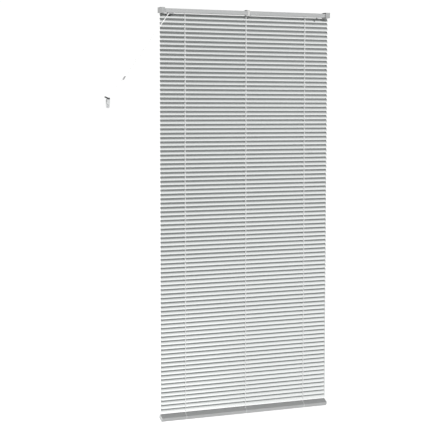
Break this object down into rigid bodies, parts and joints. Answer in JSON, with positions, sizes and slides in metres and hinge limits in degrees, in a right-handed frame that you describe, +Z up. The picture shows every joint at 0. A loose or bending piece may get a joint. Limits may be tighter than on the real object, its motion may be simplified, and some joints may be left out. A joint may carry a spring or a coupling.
{
  "type": "venetian blind",
  "caption": "Full-drop silver aluminium venetian blind with headrail, brackets, ladders, closed tilting slats, bottom rail, and lift cords drawn aside to a wall cleat",
  "frame": {"origin": "on top of the middle bracket, halfway along the blind, in the plane of the slats", "axes": "+X along the slats to the right as seen from the room, -Y towards the room, +Z up"},
  "size_m": [1.3032, 0.0447, 2.1935],
  "materials": {
    "slat_paint": "semi-gloss silver paint",
    "rail_paint": "semi-gloss silver paint",
    "bracket_steel": "painted steel",
    "steel": "zinc plated",
    "cord": "braided cord",
    "ladder_string": "woven string",
    "grey_plastic": "moulded",
    "white_plastic": "moulded",
    "smoke_plastic": "moulded",
    "dark_plastic": "moulded"
  },
  "bodies": {
    "headrail": {"centre_bracket": "white_plastic", "cleat_horn": "dark_plastic", "cleat_screw": "steel", "cord_cleat": "grey_plastic", "cord_connector": "smoke_plastic", "cord_lock_housing": "smoke_plastic", "cord_lock_roller": "steel", "drum_saddles": "white_plastic", "gate_pins": "steel", "headrail": "rail_paint", "left_bracket": "bracket_steel", "left_end_cap": "grey_plastic", "lift_cords": "cord", "pull_cord_1": "cord", "pull_cord_2": "cord", "pull_cord_3": "cord", "pull_cord_tail": "cord", "right_bracket": "bracket_steel", "right_end_cap": "grey_plastic", "slats_between": "slat_paint", "tilter_housing": "dark_plastic"},
    "tilt_rod": {"tilt_rod": "steel", "ladder_drums": "white_plastic", "tilter_wheel": "white_plastic"},
    "tilter_worm": {"tilter_worm": "white_plastic", "tilter_hook": "dark_plastic"},
    "ladder_front": {"ladder_front_strings": "ladder_string"},
    "ladder_back": {"ladder_back_strings": "ladder_string"},
    "bottom_rail": {"bottom_rail": "rail_paint", "rail_plugs": "dark_plastic", "left_rail_cap": "grey_plastic", "right_rail_cap": "grey_plastic"},
    "left_gate": {"left_bracket_gate": "bracket_steel"},
    "right_gate": {"right_bracket_gate": "bracket_steel"},
    "lock_cam": {"cord_lock_cam": "smoke_plastic"},
    "centre_lever": {"centre_bracket_lever": "dark_plastic"},
    "slat_01": {"slat_01": "slat_paint"},
    "slat_05": {"slat_05": "slat_paint"},
    "slat_09": {"slat_09": "slat_paint"},
    "slat_13": {"slat_13": "slat_paint"},
    "slat_17": {"slat_17": "slat_paint"},
    "slat_21": {"slat_21": "slat_paint"},
    "slat_25": {"slat_25": "slat_paint"},
    "slat_29": {"slat_29": "slat_paint"},
    "slat_33": {"slat_33": "slat_paint"},
    "slat_37": {"slat_37": "slat_paint"},
    "slat_41": {"slat_41": "slat_paint"},
    "slat_45": {"slat_45": "slat_paint"},
    "slat_49": {"slat_49": "slat_paint"},
    "slat_53": {"slat_53": "slat_paint"},
    "slat_57": {"slat_57": "slat_paint"},
    "slat_61": {"slat_61": "slat_paint"},
    "slat_65": {"slat_65": "slat_paint"},
    "slat_69": {"slat_69": "slat_paint"},
    "slat_73": {"slat_73": "slat_paint"},
    "slat_77": {"slat_77": "slat_paint"},
    "slat_81": {"slat_81": "slat_paint"},
    "slat_85": {"slat_85": "slat_paint"},
    "slat_89": {"slat_89": "slat_paint"}
  },
  "joints": [
    {"name": "tilt", "type": "hinge", "parent": "headrail", "child": "tilt_rod", "pos_m": [0, 0.004, -0.015], "axis": [-1, 0, 0], "range_deg": [0, 90], "deforming": ["slats_between"]},
    {"name": "worm_turn", "type": "hinge", "parent": "headrail", "child": "tilter_worm", "pos_m": [0.422, -0.00533, -0.01065], "axis": [0, -0.4226, -0.9063], "range_deg": [0, 1081]},
    {"name": "ladder_front_rise", "type": "slide", "parent": "headrail", "child": "ladder_front", "axis": [0, -0.5225, 0.8526], "range_m": [0, 0.0165]},
    {"name": "ladder_back_drop", "type": "slide", "parent": "ladder_front", "child": "ladder_back", "axis": [0, 0.5225, -0.8526], "range_m": [0, 0.03301]},
    {"name": "rail_turn", "type": "hinge", "parent": "headrail", "child": "bottom_rail", "pos_m": [0, 0, -2.1749], "axis": [-1, 0, 0], "range_deg": [0, 30.01]},
    {"name": "slat_01_turn", "type": "hinge", "parent": "headrail", "child": "slat_01", "pos_m": [0, 0, -0.042], "axis": [-1, 0, 0], "range_deg": [0, 63.01]},
    {"name": "slat_05_turn", "type": "hinge", "parent": "headrail", "child": "slat_05", "pos_m": [0, 0, -0.13412], "axis": [-1, 0, 0], "range_deg": [0, 63.01]},
    {"name": "slat_09_turn", "type": "hinge", "parent": "headrail", "child": "slat_09", "pos_m": [0, 0, -0.22624], "axis": [-1, 0, 0], "range_deg": [0, 63.01]},
    {"name": "slat_13_turn", "type": "hinge", "parent": "headrail", "child": "slat_13", "pos_m": [0, 0, -0.31836], "axis": [-1, 0, 0], "range_deg": [0, 63.01]},
    {"name": "slat_17_turn", "type": "hinge", "parent": "headrail", "child": "slat_17", "pos_m": [0, 0, -0.41048], "axis": [-1, 0, 0], "range_deg": [0, 63.01]},
    {"name": "slat_21_turn", "type": "hinge", "parent": "headrail", "child": "slat_21", "pos_m": [0, 0, -0.5026], "axis": [-1, 0, 0], "range_deg": [0, 63.01]},
    {"name": "slat_25_turn", "type": "hinge", "parent": "headrail", "child": "slat_25", "pos_m": [0, 0, -0.59472], "axis": [-1, 0, 0], "range_deg": [0, 63.01]},
    {"name": "slat_29_turn", "type": "hinge", "parent": "headrail", "child": "slat_29", "pos_m": [0, 0, -0.68684], "axis": [-1, 0, 0], "range_deg": [0, 63.01]},
    {"name": "slat_33_turn", "type": "hinge", "parent": "headrail", "child": "slat_33", "pos_m": [0, 0, -0.77896], "axis": [-1, 0, 0], "range_deg": [0, 63.01]},
    {"name": "slat_37_turn", "type": "hinge", "parent": "headrail", "child": "slat_37", "pos_m": [0, 0, -0.87108], "axis": [-1, 0, 0], "range_deg": [0, 63.01]},
    {"name": "slat_41_turn", "type": "hinge", "parent": "headrail", "child": "slat_41", "pos_m": [0, 0, -0.9632], "axis": [-1, 0, 0], "range_deg": [0, 63.01]},
    {"name": "slat_45_turn", "type": "hinge", "parent": "headrail", "child": "slat_45", "pos_m": [0, 0, -1.05532], "axis": [-1, 0, 0], "range_deg": [0, 63.01]},
    {"name": "slat_49_turn", "type": "hinge", "parent": "headrail", "child": "slat_49", "pos_m": [0, 0, -1.14744], "axis": [-1, 0, 0], "range_deg": [0, 63.01]},
    {"name": "slat_53_turn", "type": "hinge", "parent": "headrail", "child": "slat_53", "pos_m": [0, 0, -1.23956], "axis": [-1, 0, 0], "range_deg": [0, 63.01]},
    {"name": "slat_57_turn", "type": "hinge", "parent": "headrail", "child": "slat_57", "pos_m": [0, 0, -1.33168], "axis": [-1, 0, 0], "range_deg": [0, 63.01]},
    {"name": "slat_61_turn", "type": "hinge", "parent": "headrail", "child": "slat_61", "pos_m": [0, 0, -1.4238], "axis": [-1, 0, 0], "range_deg": [0, 63.01]},
    {"name": "slat_65_turn", "type": "hinge", "parent": "headrail", "child": "slat_65", "pos_m": [0, 0, -1.51592], "axis": [-1, 0, 0], "range_deg": [0, 63.01]},
    {"name": "slat_69_turn", "type": "hinge", "parent": "headrail", "child": "slat_69", "pos_m": [0, 0, -1.60804], "axis": [-1, 0, 0], "range_deg": [0, 63.01]},
    {"name": "slat_73_turn", "type": "hinge", "parent": "headrail", "child": "slat_73", "pos_m": [0, 0, -1.70016], "axis": [-1, 0, 0], "range_deg": [0, 63.01]},
    {"name": "slat_77_turn", "type": "hinge", "parent": "headrail", "child": "slat_77", "pos_m": [0, 0, -1.79228], "axis": [-1, 0, 0], "range_deg": [0, 63.01]},
    {"name": "slat_81_turn", "type": "hinge", "parent": "headrail", "child": "slat_81", "pos_m": [0, 0, -1.8844], "axis": [-1, 0, 0], "range_deg": [0, 63.01]},
    {"name": "slat_85_turn", "type": "hinge", "parent": "headrail", "child": "slat_85", "pos_m": [0, 0, -1.97652], "axis": [-1, 0, 0], "range_deg": [0, 63.01]},
    {"name": "slat_89_turn", "type": "hinge", "parent": "headrail", "child": "slat_89", "pos_m": [0, 0, -2.06864], "axis": [-1, 0, 0], "range_deg": [0, 63.01]},
    {"name": "left_gate_swing", "type": "hinge", "parent": "headrail", "child": "left_gate", "pos_m": [-0.4991, -0.0217, 0], "axis": [0, 0, -1], "range_deg": [0, 95]},
    {"name": "right_gate_swing", "type": "hinge", "parent": "headrail", "child": "right_gate", "pos_m": [0.4991, -0.0217, 0], "axis": [0, 0, 1], "range_deg": [0, 95]},
    {"name": "cam_bite", "type": "hinge", "parent": "headrail", "child": "lock_cam", "pos_m": [-0.4495, 0, -0.018], "axis": [0, 1, 0], "range_deg": [-40, 40]},
    {"name": "lever_turn", "type": "hinge", "parent": "headrail", "child": "centre_lever", "pos_m": [0.0078, -0.016, 0], "axis": [0, 0, 1], "range_deg": [0, 45]}
  ],
  "couplings": [
    {"joint": "worm_turn", "follows": "tilt", "ratio": 12},
    {"joint": "ladder_front_rise", "follows": "tilt", "m_per_rad": 0.0105},
    {"joint": "ladder_back_drop", "follows": "tilt", "m_per_rad": 0.021},
    {"joint": "rail_turn", "follows": "tilt", "ratio": 0.33333},
    {"joint": "slat_01_turn", "follows": "tilt", "ratio": 0.7},
    {"joint": "slat_05_turn", "follows": "tilt", "ratio": 0.7},
    {"joint": "slat_09_turn", "follows": "tilt", "ratio": 0.7},
    {"joint": "slat_13_turn", "follows": "tilt", "ratio": 0.7},
    {"joint": "slat_17_turn", "follows": "tilt", "ratio": 0.7},
    {"joint": "slat_21_turn", "follows": "tilt", "ratio": 0.7},
    {"joint": "slat_25_turn", "follows": "tilt", "ratio": 0.7},
    {"joint": "slat_29_turn", "follows": "tilt", "ratio": 0.7},
    {"joint": "slat_33_turn", "follows": "tilt", "ratio": 0.7},
    {"joint": "slat_37_turn", "follows": "tilt", "ratio": 0.7},
    {"joint": "slat_41_turn", "follows": "tilt", "ratio": 0.7},
    {"joint": "slat_45_turn", "follows": "tilt", "ratio": 0.7},
    {"joint": "slat_49_turn", "follows": "tilt", "ratio": 0.7},
    {"joint": "slat_53_turn", "follows": "tilt", "ratio": 0.7},
    {"joint": "slat_57_turn", "follows": "tilt", "ratio": 0.7},
    {"joint": "slat_61_turn", "follows": "tilt", "ratio": 0.7},
    {"joint": "slat_65_turn", "follows": "tilt", "ratio": 0.7},
    {"joint": "slat_69_turn", "follows": "tilt", "ratio": 0.7},
    {"joint": "slat_73_turn", "follows": "tilt", "ratio": 0.7},
    {"joint": "slat_77_turn", "follows": "tilt", "ratio": 0.7},
    {"joint": "slat_81_turn", "follows": "tilt", "ratio": 0.7},
    {"joint": "slat_85_turn", "follows": "tilt", "ratio": 0.7},
    {"joint": "slat_89_turn", "follows": "tilt", "ratio": 0.7}
  ]
}
